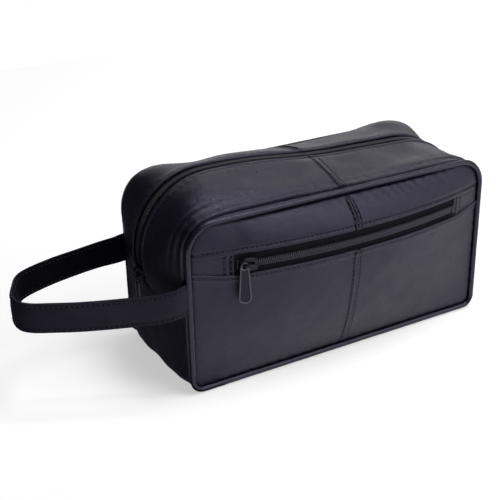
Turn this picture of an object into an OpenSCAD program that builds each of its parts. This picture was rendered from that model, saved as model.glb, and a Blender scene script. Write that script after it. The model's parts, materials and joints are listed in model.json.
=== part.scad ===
// Leather wash bag: a soft box with a zipped top, a zipped front pocket and a wrist strap.
// X runs along the length, -Y is the front, +Z is up. The origin is the centre of the base.
// Units are millimetres.

/* [Bag] */
// Length between the piping lines
bag_length = 250; // [240:1:260]
// Depth between the front and the back piping lines
bag_depth = 103; // [98:1:108]
// Height of the top piping line
bag_height = 126; // [122:1:130]
// Radius of the top corners of the front and the back
top_corner = 20; // [16:1:22]
// Thickness of the leather
leather = 1.5; // [1:0.1:1.6]
// Radius of the piping cord with its cover
piping_r = 2.25; // [1.8:0.05:2.3]
// How far the front swells out at its middle
front_crown = 17.3; // [12:0.1:20]
// How far the back swells out at its middle
back_crown = 11; // [6:0.1:14]

/* [Main zip] */
// Radius of the zip line where it turns down the left end
corner_track_r = 53.5; // [52:0.1:54]
// Height of the zip corner's centre
corner_z = 92; // [90:1:94]
// Height of the ridge at the right of the top
ridge_right = 137.5; // [136:0.5:142]
// Half of the length of the top that opens
flap_half = 78; // [70:1:78]
// Slider's place below the corner's centre, in degrees
main_slider_angle = 14.6; // [12:0.1:16]

/* [Pocket] */
// Height of the pocket zip's centre line
pocket_zip_z = 95; // [94:0.5:96]
// Half of the height of the pocket's window
window_half = 7; // [6.5:0.1:7.5]
// Half of the length of the pocket's window
window_reach = 94; // [90:1:96]
// Slider's place to the left of the middle
pocket_slider_x = 85; // [82:0.5:85]

/* [Zip parts] */
// Half of the width of a closed coil
coil_half = 2.8; // [2.4:0.1:2.8]
// Length of a slider
slider_length = 12.6; // [11:0.1:12.6]
// Length of the pocket pull from its ring to its tip
pocket_pull_length = 28; // [26:0.5:34]
// Length of the main pull from its bar to its tip
main_pull_length = 32; // [26:0.5:34]
// Width of the main pull
pull_width = 7; // [6:0.1:7]
// Width of the pocket pull near its tip
pocket_pull_width = 9.4; // [7:0.1:10]

/* [Strap] */
// Width of the strap
strap_width = 22; // [20:0.5:25]
// Thickness of the strap
strap_thickness = 2.8; // [2:0.1:3]
// Height of the strap's middle at its hinge
strap_z = 73.5; // [70:0.5:76]
// Where the strap hinges on its sewn ends
strap_hinge_x = 134.5; // [134.5:0.1:136]

/* [Hidden] */

leather_colour = [0.05, 0.05, 0.06];
tape_colour = [0.09, 0.09, 0.1];
coil_colour = [0.16, 0.16, 0.17];
metal_colour = [0.25, 0.25, 0.27];
lining_colour = [0.13, 0.13, 0.15];
board_colour = [0.3, 0.3, 0.3];

half_x = bag_length / 2;
half_y = bag_depth / 2;
gap = 0.3;

// Piping outline: its feet are small arcs just above the base
foot_r = 7.7;
foot_x = half_x - foot_r;
foot_z = piping_r + 0.35 + foot_r;
inset = piping_r + 0.35;
gusset_y = half_y - inset + 0.1;

// Crown of the ends and the top, as the zip line that stands out from the piping.
// Each side has: corner centre x, reach along x, reach along z, lowest zip angle, foot radius
left_end = [86, corner_track_r, corner_track_r, -30, 13.7];
right_end = [80, 55, ridge_right - corner_z, -20, 11.7];
ridge_left = corner_z + corner_track_r;
ridge_fall = [-70, 30];
crown_power = 2.4;

// Depths below the outer surface: tape, coil, pocket pouch and lining
tape_top = 2;
tape_bottom = 2.7;
coil_top = 0.5;
coil_bottom = 1.7;
tape_reach = 13;
pocket_tape_reach = 9;
coil_gap = 0.15;
pouch = [3.1, 3.7];
front_lining = [4.5, 5.1];
other_lining = [3.1, 3.7];
corner_stop_angle = 4.5;
lining_span = [8, 45];

// Board and floor lining inside the base: length, depth, thickness and height above the base
board = [224, 88, 1.6];
board_low = 2.3;
floor_lining = [228, 88, 0.6];
floor_low = 4.3;

// Front panel: rows of heights that follow its rounded corners
plateau = [pocket_zip_z - 7, pocket_zip_z + 9];
panel_low = foot_z - foot_r + inset;
panel_high = bag_height - inset;
panel_reach = half_x - inset;
track_r = (panel_reach * panel_reach + front_crown * front_crown) / (2 * front_crown);
track_y = track_r - half_y - front_crown;

// Sliders
slider_clear = 0.6;
wing = 1.1;
slider_half = 4.4;
bridge_half = 1;
bridge_reach = 4.3;
bridge_window = 2.9;
bridge_clear = 2.2;
bridge_top = 3.1;
bar_height = 1.25;
bar_r = 0.7;
arm_length = 5.6;
ring_r = 3.2;
ring_hole = 1.8;
ring_x = -(bridge_reach + bridge_window) / 2;
plate_thickness = 1;
plate_lift = 0.45;

// Route of the strap's middle line from the front root to the rear root: x, y, height above the hinge
strap_route = [
    [-strap_hinge_x - gap, -51.6, 0], [-147, -46.5, -2.5], [-164, -38, -4], [-180, -31, -4.5],
    [-195, -24.5, -4.5], [-210, -17.5, -4], [-221, -11, -4], [-227, -3, -4], [-227.5, 8, -3.5],
    [-223, 20, -3], [-217, 31, -2], [-207, 38, -1.5], [-187, 44.5, -1], [-165, 49.5, -1],
    [-148, 51.6, -0.5], [-strap_hinge_x - gap, 51.6, 0]
];
strap_steps = 3;
wedge_angle = 55;

function mix(a, b, k) = a + (b - a) * k;
function ease(k) = (1 - cos(180 * max(0, min(1, k)))) / 2;
function ridge(x) = mix(ridge_left, ridge_right,
    ease((x - ridge_fall[0]) / (ridge_fall[1] - ridge_fall[0])));

// Where a ray at angle a from the corner's centre meets the piping outline
function side_hit(cx, a) = [half_x, corner_z + (half_x - cx) * tan(a)];
function top_hit(cx, a) = [cx + (bag_height - corner_z) / tan(a), bag_height];
function round_hit(cx, a) =
    let (d = [cos(a), sin(a)],
         v = [half_x - top_corner - cx, bag_height - top_corner - corner_z],
         along = v * d)
    [cx, corner_z] + d * (along + sqrt(along * along - v * v + top_corner * top_corner));
function outline_hit(cx, a) =
    a < 80 && side_hit(cx, a)[1] <= bag_height - top_corner ? side_hit(cx, a)
    : a > 10 && top_hit(cx, a)[0] <= half_x - top_corner ? top_hit(cx, a)
    : round_hit(cx, a);

// A row of the gusset is [point on the piping, point on the crown line, angle of the outward side]
function zip_point(end, a) = [end[0] + end[1] * cos(a), corner_z + end[2] * sin(a)];
function foot_row(end, a) = [
    [foot_x + foot_r * cos(a), foot_z + foot_r * sin(a)],
    [foot_x + end[4] * cos(a), end[4] * (1 + sin(a)) + gap], a];
function rise_row(end, k) = [
    mix([half_x, foot_z], outline_hit(end[0], end[3]), k),
    mix([foot_x + end[4], end[4] + gap], zip_point(end, end[3]), k), end[3] * k];
function corner_row(end, a) = [outline_hit(end[0], a), zip_point(end, a), a];
function top_row(x, world_x) = [[x, bag_height], [x, ridge(world_x)], 90];

function foot_rows(end) = [for (a = [-90:22.5:-22.5]) foot_row(end, a)];
function rise_rows(end) = [for (k = [0:0.25:1]) rise_row(end, k)];
function corner_rows(end, from, step = 10) = [for (a = [from:step:90]) corner_row(end, a)];
function top_rows(from, to, n) = [for (i = [0:n]) top_row(mix(from, to, i / n), mix(from, to, i / n))];

function bulge(y) = 1 - pow(abs(y) / half_y, crown_power);
function gusset_point(row, y, t) =
    let (p = mix(row[0], row[1], bulge(y)))
    [p[0] - t * cos(row[2]), y, p[1] - t * sin(row[2])];
function steps(a, b, n) = [for (i = [0:n]) mix(a, b, i / n)];

// A closed solid between an outer and an inner grid of points
module shell(outer, inner) {
    n = len(outer);
    m = len(outer[0]);
    points = concat([for (row = outer) for (p = row) p], [for (row = inner) for (p = row) p]);
    function a(i, j) = i * m + j;
    function b(i, j) = n * m + i * m + j;
    quads = concat(
        [for (i = [0:n - 2]) for (j = [0:m - 2]) [a(i, j), a(i + 1, j), a(i + 1, j + 1), a(i, j + 1)]],
        [for (i = [0:n - 2]) for (j = [0:m - 2]) [b(i, j), b(i, j + 1), b(i + 1, j + 1), b(i + 1, j)]],
        [for (i = [0:n - 2]) [a(i + 1, 0), a(i, 0), b(i, 0), b(i + 1, 0)]],
        [for (i = [0:n - 2]) [a(i, m - 1), a(i + 1, m - 1), b(i + 1, m - 1), b(i, m - 1)]],
        [for (j = [0:m - 2]) [a(0, j), a(0, j + 1), b(0, j + 1), b(0, j)]],
        [for (j = [0:m - 2]) [a(n - 1, j + 1), a(n - 1, j), b(n - 1, j), b(n - 1, j + 1)]]);
    polyhedron(points, [for (q = quads) for (f = [[q[0], q[1], q[2]], [q[0], q[2], q[3]]]) f]);
}

module strip(rows, ys, t0, t1) {
    shell([for (r = rows) [for (y = ys) gusset_point(r, y, t0)]],
          [for (r = rows) [for (y = ys) gusset_point(r, y, t1)]]);
}

// Everything at the ends is drawn at +x and mirrored for the left
module at_side(left) {
    if (left) mirror([1, 0, 0]) children();
    else children();
}

module end_gusset(left) {
    end = left ? left_end : right_end;
    color(leather_colour) at_side(left)
        strip(concat(foot_rows(end), rise_rows(end)), steps(-gusset_y, gusset_y, 12), 0, leather);
}

module gusset_corner(left, rear) {
    end = left ? left_end : right_end;
    side = left ? -1 : 1;
    rows = concat(corner_rows(end, end[3] + 1), [top_row(flap_half + gap, side * (flap_half + gap))]);
    ys = rear ? steps(window_half, gusset_y, 5) : steps(-gusset_y, -window_half, 5);
    color(leather_colour) at_side(left) strip(rows, ys, 0, leather);
}

module gusset_top(from, to, rear) {
    ys = rear ? steps(window_half, gusset_y, 5) : steps(-gusset_y, -window_half, 5);
    color(leather_colour) strip(top_rows(from, to, 6), ys, 0, leather);
}

module zip_tape_corner(left, rear) {
    end = left ? left_end : right_end;
    side = left ? -1 : 1;
    rows = concat(corner_rows(end, end[3] + 2), [top_row(flap_half + gap, side * (flap_half + gap))]);
    ys = rear ? [coil_gap, tape_reach] : [-tape_reach, -coil_gap];
    color(tape_colour) at_side(left) strip(rows, ys, tape_top, tape_bottom);
}

module zip_coil_corner(left) {
    end = left ? left_end : right_end;
    side = left ? -1 : 1;
    rows = concat(corner_rows(end, end[3] + corner_stop_angle + 0.5),
                  [top_row(flap_half + gap, side * (flap_half + gap))]);
    color(coil_colour) at_side(left) {
        strip(rows, [coil_gap, coil_half], coil_top, coil_bottom);
        strip(rows, [-coil_half, -coil_gap], coil_top, coil_bottom);
    }
}

module zip_stop(left) {
    end = left ? left_end : right_end;
    rows = [corner_row(end, end[3] + 2), corner_row(end, end[3] + corner_stop_angle)];
    at_side(left) strip(rows, [-coil_half, coil_half], coil_top - 0.3, coil_bottom);
}

module main_zip_stops() {
    color(metal_colour) {
        zip_stop(true);
        zip_stop(false);
    }
}

module top_strip(ys, t0, t1, colour) {
    color(colour) strip(top_rows(flap_half - gap, -flap_half + gap, 12), ys, t0, t1);
}

module lining_end(left) {
    end = left ? left_end : right_end;
    side = left ? -1 : 1;
    t = other_lining;
    low = concat(foot_rows(end), rise_rows(end));
    high = concat(corner_rows(end, end[3] + 1), [top_row(flap_half + gap, side * (flap_half + gap))]);
    color(lining_colour) at_side(left) {
        strip(low, steps(-lining_span[1], lining_span[1], 6), t[0], t[1]);
        strip(high, steps(-lining_span[1], -lining_span[0], 3), t[0], t[1]);
        strip(high, steps(lining_span[0], lining_span[1], 3), t[0], t[1]);
    }
}

// Half width of the front and the back at height z, inside the piping
function panel_half(z) =
    z < foot_z ? foot_x + sqrt(max(0, pow(foot_z - panel_low, 2) - pow(foot_z - z, 2)))
    : z > bag_height - top_corner
        ? half_x - top_corner + sqrt(max(0, pow(top_corner - inset, 2) - pow(z - bag_height + top_corner, 2)))
    : panel_reach;
function swell(z) =
    z < plateau[0] ? pow(max(0, sin(90 * (z - panel_low) / (plateau[0] - panel_low))), 0.9)
    : z > plateau[1] ? cos(90 * (z - plateau[1]) / (panel_high + 0.2 - plateau[1]))
    : 1;
function front_y(x, z, t) =
    -half_y + t - swell(z) * (sqrt(track_r * track_r - x * x) - track_r + front_crown);
function back_y(x, z, t) =
    half_y - t + back_crown * (1 - pow(x / panel_reach, 2))
    * pow(max(0, sin(180 * (z - panel_low) / (panel_high - panel_low))), 0.8);

// Heights of the panel rows: close together where the corners turn
foot_levels = [for (a = [0:22.5:67.5]) foot_z - (foot_z - panel_low) * cos(a)];
head_levels = [for (a = [0:18:90]) bag_height - top_corner + (top_corner - inset) * sin(a)];

function front_grid(levels, u0, u1, n, t) =
    [for (z = levels) [for (u = steps(u0, u1, n))
        [u * panel_half(z), front_y(u * panel_reach, z, t), z]]];
function back_grid(levels, u0, u1, n, t) =
    [for (z = levels) [for (u = steps(u1, u0, n))
        [u * panel_half(z), back_y(u * panel_reach, z, t), z]]];

seam_u = gap / 2 / panel_reach;
window_low = pocket_zip_z - window_half;
window_high = pocket_zip_z + window_half;
pocket_levels = concat(foot_levels, steps(foot_z, window_low, 8));
top_levels = concat([window_high], head_levels);
back_levels = concat(foot_levels, steps(foot_z, bag_height - top_corner - 0.5, 7), head_levels);

module front_piece(levels, u0, u1, n) {
    color(leather_colour)
        shell(front_grid(levels, u0, u1, n, 0), front_grid(levels, u0, u1, n, leather));
}

module back_piece(u0, u1) {
    color(leather_colour)
        shell(back_grid(back_levels, u0, u1, 6, 0), back_grid(back_levels, u0, u1, 6, leather));
}

module end_tab(u0, u1) {
    front_piece([window_low + gap, window_high - gap], u0, u1, 3);
}

module pocket_lining() {
    levels = steps(foot_z + 4, window_high + 4, 8);
    color(lining_colour)
        shell(front_grid(levels, -0.9, 0.9, 10, pouch[0]), front_grid(levels, -0.9, 0.9, 10, pouch[1]));
}

module lining_front() {
    levels = steps(foot_z, bag_height - 6, 8);
    t = front_lining;
    color(lining_colour)
        shell(front_grid(levels, -0.96, 0.96, 10, t[0]), front_grid(levels, -0.96, 0.96, 10, t[1]));
}

module lining_rear() {
    levels = steps(foot_z, bag_height - 6, 8);
    t = other_lining;
    color(lining_colour)
        shell(back_grid(levels, -0.96, 0.96, 10, t[0]), back_grid(levels, -0.96, 0.96, 10, t[1]));
}

module lining_base() {
    color(lining_colour) translate([-floor_lining[0] / 2, -floor_lining[1] / 2, floor_low]) cube(floor_lining);
}

module base_panel() {
    r = 4;
    color(leather_colour) linear_extrude(height = 2) union() {
        square([2 * (foot_x - gap), 2 * (gusset_y - r)], center = true);
        square([2 * (foot_x - gap - r), 2 * gusset_y], center = true);
        for (sx = [-1, 1], sy = [-1, 1])
            translate([sx * (foot_x - gap - r), sy * (gusset_y - r)]) circle(r = r, $fn = 32);
    }
}

module base_stiffener() {
    color(board_colour) translate([-board[0] / 2, -board[1] / 2, board_low]) cube(board);
}

// Piping: a round cord swept along the outline
function arc_points(cx, cz, r, a0, a1, n) =
    [for (a = steps(a0, a1, n)) [[cx + r * cos(a), cz + r * sin(a)], a]];
piping_path = concat(
    arc_points(foot_x, foot_z, foot_r, -90, 0, 4),
    arc_points(half_x - top_corner, bag_height - top_corner, top_corner, 0, 90, 6),
    arc_points(-half_x + top_corner, bag_height - top_corner, top_corner, 90, 180, 6),
    arc_points(-foot_x, foot_z, foot_r, 180, 270, 4));

module piping(y) {
    sides = 10;
    n = len(piping_path);
    points = [for (s = piping_path) for (k = [0:sides - 1])
        let (f = 360 * k / sides, out = piping_r * cos(f))
        [s[0][0] + out * cos(s[1]), y + piping_r * sin(f), s[0][1] + out * sin(s[1])]];
    function p(i, k) = (i % n) * sides + k % sides;
    faces = [for (i = [0:n - 1]) for (k = [0:sides - 1]) for (f = [
        [p(i, k), p(i + 1, k), p(i + 1, k + 1)], [p(i, k), p(i + 1, k + 1), p(i, k + 1)]]) f];
    color(leather_colour) polyhedron(points, faces);
}

// A strip that lies along the pocket's track: depths t0 to t1, heights z0 to z1, x0 to x1
module track_strip(t0, t1, z0, z1, x0, x1) {
    a0 = asin(x0 / track_r);
    a1 = asin(x1 / track_r);
    translate([0, track_y, 0]) rotate([0, 0, a0 - 90])
        rotate_extrude(angle = a1 - a0, $fn = 360)
            translate([track_r - t1, z0]) square([t1 - t0, z1 - z0]);
}

module pocket_tape(z0, z1) {
    color(tape_colour) track_strip(tape_top, tape_bottom, z0, z1, -window_reach - 6, window_reach + 6);
}

module pocket_coil(z0, z1) {
    color(coil_colour) track_strip(coil_top, coil_bottom, z0, z1, -window_reach + 2.2, window_reach - 2.2);
}

module pocket_zip_stops() {
    color(metal_colour) for (side = [-1, 1])
        track_strip(coil_top - 0.3, coil_bottom, pocket_zip_z - coil_half, pocket_zip_z + coil_half,
            side * (window_reach - 1) - 0.8, side * (window_reach - 1) + 0.8);
}

// A slider lies along x with its outer side towards +z; z = 0 is the leather's outer surface
wing_low = slider_clear - coil_top;
shoulder_x = 1.2;
nose_length = 3.4;
nose_half = slider_half - 0.9;
tail_half = slider_half - 1;
wall = 1;
wall_low = 1.2;
wall_overlap = 0.5;
bridge_round = 8;
module wing_shape() {
    translate([shoulder_x, 0]) circle(r = slider_half, $fn = 48);
    translate([-slider_length / 2, -tail_half]) square([slider_length / 2, 2 * tail_half]);
    translate([slider_length / 2 - nose_length, -nose_half]) square([nose_length, 2 * nose_half]);
}
module slider() {
    color(metal_colour) {
        translate([0, 0, wing_low]) linear_extrude(height = wing) wing_shape();
        for (side = [-1, 1])
            translate([-slider_length / 2, side * (slider_half - wall / 2) - wall / 2, -wall_low])
                cube([slider_length - 1.5 * wall, wall, wall_low + wing_low + wall_overlap]);
        translate([0, bridge_half, wing_low + wing]) rotate([90, 0, 0])
            linear_extrude(height = 2 * bridge_half) difference() {
                intersection() {
                    translate([-bridge_reach, -0.2]) square([2 * bridge_reach, bridge_top + 0.2]);
                    translate([0, bridge_top - bridge_round]) circle(r = bridge_round, $fn = 96);
                }
                translate([-bridge_window, 0]) square([2 * bridge_window, bridge_clear]);
            }
    }
}

module on_main_track() {
    translate([-left_end[0], 0, corner_z]) rotate([0, -90 - main_slider_angle, 0])
        translate([0, 0, corner_track_r]) children();
}

pocket_slider_angle = -asin(pocket_slider_x / track_r);
module on_pocket_track() {
    translate([0, track_y, pocket_zip_z]) rotate([0, 0, pocket_slider_angle])
        translate([0, -track_r, 0]) rotate([90, 0, 0]) children();
}

// The main pull hangs straight down from its bar, with its flat side towards x
bar_radius = corner_track_r + wing_low + wing + bar_height;
module main_pull_tab() {
    arm = 1.4;
    arm_y = pull_width / 2 - arm / 2;
    tip = main_pull_length - pull_width / 2;
    color(metal_colour)
        translate([-left_end[0] - bar_radius * cos(main_slider_angle), 0,
                   corner_z - bar_radius * sin(main_slider_angle)]) {
            rotate([90, 0, 0]) cylinder(r = bar_r, h = pull_width, center = true, $fn = 32);
            for (side = [-1, 1]) translate([-plate_thickness / 2, side * arm_y - arm / 2, -arm_length - 1])
                cube([plate_thickness, arm, arm_length + 1]);
            rotate([0, 90, 0]) linear_extrude(height = plate_thickness, center = true) {
                translate([arm_length, -pull_width / 2]) square([tip - arm_length, pull_width]);
                translate([tip, 0]) circle(r = pull_width / 2, $fn = 48);
            }
        }
}

// The pocket pull's ring goes round the bridge's left leg, and the tab hangs from it
module pocket_pull_tab() {
    tip_r = pocket_pull_width / 2;
    color(metal_colour) on_pocket_track()
        translate([ring_x, 0, wing_low + wing + plate_lift]) linear_extrude(height = plate_thickness)
            difference() {
                hull() {
                    circle(r = ring_r, $fn = 48);
                    translate([0, tip_r - pocket_pull_length]) circle(r = tip_r, $fn = 48);
                }
                circle(r = ring_hole, $fn = 32);
            }
}

// Strap: a smooth curve through the route's points
function route_point(i) = strap_route[max(0, min(len(strap_route) - 1, i))];
function curve(i, k) =
    let (p0 = route_point(i - 1), p1 = route_point(i), p2 = route_point(i + 1), p3 = route_point(i + 2))
    0.5 * (2 * p1 + (p2 - p0) * k + (2 * p0 - 5 * p1 + 4 * p2 - p3) * k * k
           + (3 * p1 - p0 - 3 * p2 + p3) * k * k * k);
strap_line = concat(
    [for (i = [0:len(strap_route) - 2]) for (k = [0:strap_steps - 1]) curve(i, k / strap_steps)],
    [route_point(len(strap_route) - 1)]);
function heading(i) =
    let (a = strap_line[max(0, i - 1)], b = strap_line[min(len(strap_line) - 1, i + 1)])
    let (d = [b[0] - a[0], b[1] - a[1]])
    i == 0 ? [-1, 0] : i == len(strap_line) - 1 ? [1, 0] : d / norm(d);
function strap_side(offset) =
    [for (i = [0:len(strap_line) - 1])
        let (h = heading(i), p = strap_line[i] + offset * [h[1], -h[0], 0])
        [for (z = [-strap_width / 2, strap_width / 2]) p + [0, 0, strap_z + z]]];

module wrist_strap() {
    color(leather_colour) shell(strap_side(-strap_thickness / 2), strap_side(strap_thickness / 2));
}

module strap_end(y) {
    root = half_x + piping_r + gap;
    tip = strap_hinge_x - gap;
    rise = (tip - root) * tan(wedge_angle);
    color(leather_colour) translate([0, y + strap_thickness / 2, strap_z]) rotate([90, 0, 0])
        linear_extrude(height = strap_thickness)
            polygon([[-root, -rise], [-root, rise], [-tip, 0]]);
}

base_panel();
base_stiffener();
end_gusset(true);  // end_gusset_left
end_gusset(false);  // end_gusset_right
gusset_corner(true, false);  // gusset_corner_front_left
gusset_corner(true, true);  // gusset_corner_rear_left
gusset_corner(false, false);  // gusset_corner_front_right
gusset_corner(false, true);  // gusset_corner_rear_right
front_piece(top_levels, -1, -seam_u, 6);  // front_top_panel_left
front_piece(top_levels, seam_u, 1, 6);  // front_top_panel_right
front_piece(pocket_levels, -1, -seam_u, 6);  // pocket_panel_left
front_piece(pocket_levels, seam_u, 1, 6);  // pocket_panel_right
end_tab(-1, -window_reach / panel_reach);  // pocket_end_tab_left
end_tab(window_reach / panel_reach, 1);  // pocket_end_tab_right
back_piece(-1, -seam_u);  // back_panel_left
back_piece(seam_u, 1);  // back_panel_right
piping(-half_y);  // front_piping
piping(half_y);  // rear_piping
pocket_tape(pocket_zip_z + coil_gap, pocket_zip_z + pocket_tape_reach);  // pocket_zip_tape_upper
pocket_tape(pocket_zip_z - pocket_tape_reach, pocket_zip_z - coil_gap);  // pocket_zip_tape_lower
pocket_coil(pocket_zip_z + coil_gap, pocket_zip_z + coil_half);  // pocket_zip_coil_upper
pocket_coil(pocket_zip_z - coil_half, pocket_zip_z - coil_gap);  // pocket_zip_coil_lower
pocket_zip_stops();
pocket_lining();
zip_tape_corner(true, false);  // main_zip_tape_front_left
zip_tape_corner(true, true);  // main_zip_tape_rear_left
zip_tape_corner(false, false);  // main_zip_tape_front_right
zip_tape_corner(false, true);  // main_zip_tape_rear_right
zip_coil_corner(true);  // main_zip_coil_left
zip_coil_corner(false);  // main_zip_coil_right
main_zip_stops();
strap_end(-half_y - 0.1);  // strap_end_front
strap_end(half_y + 0.1);  // strap_end_rear
lining_front();
lining_rear();
lining_end(true);  // lining_end_left
lining_end(false);  // lining_end_right
lining_base();
gusset_top(-gap / 2, -flap_half + gap, false);  // gusset_top_front_left
gusset_top(flap_half - gap, gap / 2, false);  // gusset_top_front_right
top_strip([-tape_reach, -coil_gap], tape_top, tape_bottom, tape_colour);  // main_zip_tape_front_top
top_strip([-coil_half, -coil_gap], coil_top, coil_bottom, coil_colour);  // main_zip_coil_front_top
top_strip(steps(-lining_span[1], -lining_span[0], 3), other_lining[0], other_lining[1], lining_colour);  // lining_top_front
gusset_top(-gap / 2, -flap_half + gap, true);  // gusset_top_rear_left
gusset_top(flap_half - gap, gap / 2, true);  // gusset_top_rear_right
top_strip([coil_gap, tape_reach], tape_top, tape_bottom, tape_colour);  // main_zip_tape_rear_top
top_strip([coil_gap, coil_half], coil_top, coil_bottom, coil_colour);  // main_zip_coil_rear_top
top_strip(steps(lining_span[0], lining_span[1], 3), other_lining[0], other_lining[1], lining_colour);  // lining_top_rear
on_main_track() slider();  // main_slider_body
main_pull_tab();
on_pocket_track() slider();  // pocket_slider_body
pocket_pull_tab();
wrist_strap();
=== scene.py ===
"""Looks of the leather wash bag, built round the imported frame.

Shapes are worked out in millimetres in the frame's own axes, and become metres in mesh_object().
The gusset is the leather that runs over the top and down the ends, on each side of the main zip.
"""
import json
import math

import bmesh
import bpy
import numpy as np
from mathutils import Matrix, Vector


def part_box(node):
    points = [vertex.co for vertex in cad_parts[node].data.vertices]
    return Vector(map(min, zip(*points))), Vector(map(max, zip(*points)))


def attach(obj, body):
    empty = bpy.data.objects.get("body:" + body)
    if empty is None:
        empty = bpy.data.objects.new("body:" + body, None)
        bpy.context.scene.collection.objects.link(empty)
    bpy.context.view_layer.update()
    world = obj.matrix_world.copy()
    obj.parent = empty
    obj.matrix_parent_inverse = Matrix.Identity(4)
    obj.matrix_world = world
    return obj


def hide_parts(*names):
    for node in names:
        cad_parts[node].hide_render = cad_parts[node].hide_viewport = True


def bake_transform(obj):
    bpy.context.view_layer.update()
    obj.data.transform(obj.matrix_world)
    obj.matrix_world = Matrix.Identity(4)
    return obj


MM = 0.001
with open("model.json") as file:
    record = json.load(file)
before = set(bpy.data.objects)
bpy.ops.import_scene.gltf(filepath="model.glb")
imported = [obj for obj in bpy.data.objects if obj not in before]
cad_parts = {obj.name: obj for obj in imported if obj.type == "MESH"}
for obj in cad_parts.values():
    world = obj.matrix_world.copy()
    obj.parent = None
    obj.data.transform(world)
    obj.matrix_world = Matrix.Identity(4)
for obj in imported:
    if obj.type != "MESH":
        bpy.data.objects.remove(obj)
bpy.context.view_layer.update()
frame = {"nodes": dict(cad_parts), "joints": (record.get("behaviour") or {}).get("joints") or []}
joints = {j["name"]: j for j in frame["joints"]}


# -------- sizes from the frame

def node_box(name):
    lo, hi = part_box(name)
    return np.array(lo) / MM, np.array(hi) / MM


def joint_place(name):
    return np.array(joints[name]["pos_m"]) / MM


pipe_lo, pipe_hi = node_box("front_piping")
PIPE_R = (pipe_hi[1] - pipe_lo[1]) / 2
HALF_X = pipe_hi[0] - PIPE_R
HALF_Y = -(pipe_hi[1] + pipe_lo[1]) / 2
TOP = pipe_hi[2] - PIPE_R
PIPE_LOW = pipe_lo[2] + PIPE_R
CORNER = joint_place("main_slider_travel")
TRACK = joint_place("pocket_slider_travel")
POCKET_Z = TRACK[2]
PULL_PIVOT = joint_place("main_pull_flip")
POCKET_PIVOT = joint_place("pocket_pull_swing")
STRAP_PIVOT = joint_place("strap_swing")

TOP_R = 20.0
FOOT_R = 7.7
FOOT = np.array([HALF_X - FOOT_R, PIPE_LOW + FOOT_R])
CROWN_POWER = 2.4
CORNER_R = 53.5
RIDGE_RIGHT = 137.5
RIDGE_LEFT = CORNER[2] + CORNER_R
SEAM_EDGE = 6.3
LEATHER = 1.5
PANEL_INSET = 1.3
CROWN_FRONT = 17.3
CROWN_BACK = 11.0
CAD_REACH = HALF_X - PIPE_R - 0.35
TRACK_R = (CAD_REACH ** 2 + CROWN_FRONT ** 2) / (2 * CROWN_FRONT)
WINDOW_HALF = 7.0
WINDOW_REACH = 94.0
WINDOW = (POCKET_Z - WINDOW_HALF, POCKET_Z + WINDOW_HALF)
COIL_HALF = 2.8
COIL_PITCH = 1.55
POCKET_TAPE = 8.4
PANEL_REACH = HALF_X - PANEL_INSET
CLOTH = 0.6
TAPE_DEPTH = 2.0
LINING_DEPTH = 3.2
COIL_DEPTH = 1.05
STITCH_PITCH = 3.4

# Rows of stitches, each as its distance from the edge or the joint that it follows
ZIP_ROW = 3.2
TOP_ROW = 3.8
LIP_ROW = 2.6
TAB_ROWS = (2.6, 7.2)
JOINT_ROW = 2.4
TOP_JOINT_ROW = 2.35
STRAP_ROW = 2.4

# Each end's corner centre, reach of the crown along x and z, lowest angle of the zip, radius of the foot,
# and the side's sign
LEFT = {"cx": -CORNER[0], "reach": CORNER_R, "rise": CORNER_R, "low": -30.0, "foot": 13.7, "side": -1}
RIGHT = {"cx": 80.0, "reach": 55.0, "rise": RIDGE_RIGHT - CORNER[2], "low": -20.0, "foot": 11.7, "side": 1}


# -------- meshes

def linked(name, data):
    obj = bpy.data.objects.new(name, data)
    bpy.context.scene.collection.objects.link(obj)
    return obj


def mesh_object(name, points, faces, material):
    """A mesh in metres from points in millimetres, with its faces turned outward."""
    points = np.asarray(points, float).reshape(-1, 3)
    quads = [tuple(int(i) for i in f) for f in faces]
    tri = np.array([(f[0], f[k], f[k + 1]) for f in quads for k in range(1, len(f) - 1)])
    a, b, c = (points[tri[:, k]] for k in range(3))
    if np.einsum("ij,ij->i", a, np.cross(b, c)).sum() < 0:
        quads = [f[::-1] for f in quads]
    mesh = bpy.data.meshes.new(name)
    mesh.from_pydata((points * MM).tolist(), [], quads)
    mesh.polygons.foreach_set("use_smooth", [True] * len(mesh.polygons))
    mesh.update()
    mesh.materials.append(material)
    return linked(name, mesh)


def solid(name, outer, inner, material):
    """A closed solid between two grids of points."""
    n, m = outer.shape[:2]
    index = np.arange(n * m).reshape(n, m)
    far = index + n * m
    faces = []

    def band(a, b, c, d):
        faces.extend(np.stack([a.ravel(), b.ravel(), c.ravel(), d.ravel()], 1))

    band(index[:-1, :-1], index[1:, :-1], index[1:, 1:], index[:-1, 1:])
    band(far[:-1, :-1], far[:-1, 1:], far[1:, 1:], far[1:, :-1])
    band(index[1:, 0], index[:-1, 0], far[:-1, 0], far[1:, 0])
    band(index[:-1, -1], index[1:, -1], far[1:, -1], far[:-1, -1])
    band(index[0, :-1], index[0, 1:], far[0, 1:], far[0, :-1])
    band(index[-1, 1:], index[-1, :-1], far[-1, :-1], far[-1, 1:])
    return mesh_object(name, np.concatenate([outer.reshape(-1, 3), inner.reshape(-1, 3)]), faces, material)


def tube(name, rings, material, closed=False):
    """A skin over rings of points, with flat ends unless it closes on itself."""
    n, m = rings.shape[:2]
    index = np.arange(n * m).reshape(n, m)
    below = index if closed else index[:-1]
    above = np.roll(index, -1, 0) if closed else index[1:]
    faces = list(np.stack([below, above, np.roll(above, -1, 1), np.roll(below, -1, 1)], -1).reshape(-1, 4))
    if not closed:
        faces += [index[0], index[-1][::-1]]
    return mesh_object(name, rings, faces, material)


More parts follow.
